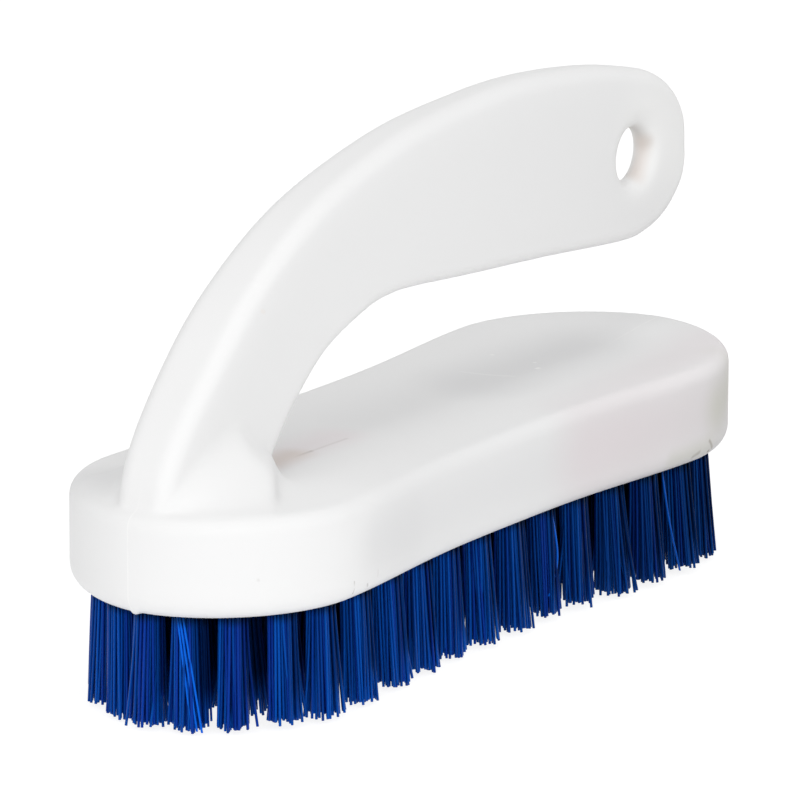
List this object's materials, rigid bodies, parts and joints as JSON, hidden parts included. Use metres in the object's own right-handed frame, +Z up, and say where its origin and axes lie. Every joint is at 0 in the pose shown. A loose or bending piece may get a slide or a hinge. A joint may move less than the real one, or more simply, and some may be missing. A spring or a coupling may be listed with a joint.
{
  "type": "nail brush",
  "caption": "Nail brush with a waisted oval back, an arched handle with a hanging hole, and trimmed bristle tufts in an outer ring and inner rows.",
  "frame": {"origin": "middle of the object's outline, in the plane of the trimmed bristle tips that it stands on", "axes": "+X along the brush from the handle's root to its free end, +Z up from the bristle tips to the handle, +Y across; Y = 0 is the plane of symmetry"},
  "size_m": [0.1422, 0.0454, 0.0771],
  "materials": {
    "back": "satin white moulded plastic",
    "bristle": "royal blue nylon filament"
  },
  "bodies": {
    "root": {"brush_back": "back", "tuft_outer_01": "bristle", "tuft_outer_02": "bristle", "tuft_outer_03": "bristle", "tuft_outer_04": "bristle", "tuft_outer_05": "bristle", "tuft_outer_06": "bristle", "tuft_outer_07": "bristle", "tuft_outer_08": "bristle", "tuft_outer_09": "bristle", "tuft_outer_10": "bristle", "tuft_outer_11": "bristle", "tuft_outer_12": "bristle", "tuft_outer_13": "bristle", "tuft_outer_14": "bristle", "tuft_outer_15": "bristle", "tuft_outer_16": "bristle", "tuft_outer_17": "bristle", "tuft_outer_18": "bristle", "tuft_outer_19": "bristle", "tuft_outer_20": "bristle", "tuft_outer_21": "bristle", "tuft_outer_22": "bristle", "tuft_outer_23": "bristle", "tuft_outer_24": "bristle", "tuft_outer_25": "bristle", "tuft_outer_26": "bristle", "tuft_outer_27": "bristle", "tuft_outer_28": "bristle", "tuft_outer_29": "bristle", "tuft_outer_30": "bristle", "tuft_outer_31": "bristle", "tuft_outer_32": "bristle", "tuft_outer_33": "bristle", "tuft_outer_34": "bristle", "tuft_outer_35": "bristle", "tuft_outer_36": "bristle", "tuft_outer_37": "bristle", "tuft_outer_38": "bristle", "tuft_row_01": "bristle", "tuft_row_02": "bristle", "tuft_row_03": "bristle", "tuft_row_04": "bristle", "tuft_row_05": "bristle", "tuft_row_06": "bristle", "tuft_row_07": "bristle", "tuft_row_08": "bristle", "tuft_row_09": "bristle", "tuft_row_10": "bristle", "tuft_row_11": "bristle", "tuft_row_12": "bristle", "tuft_row_13": "bristle", "tuft_row_14": "bristle"}
  },
  "joints": []
}
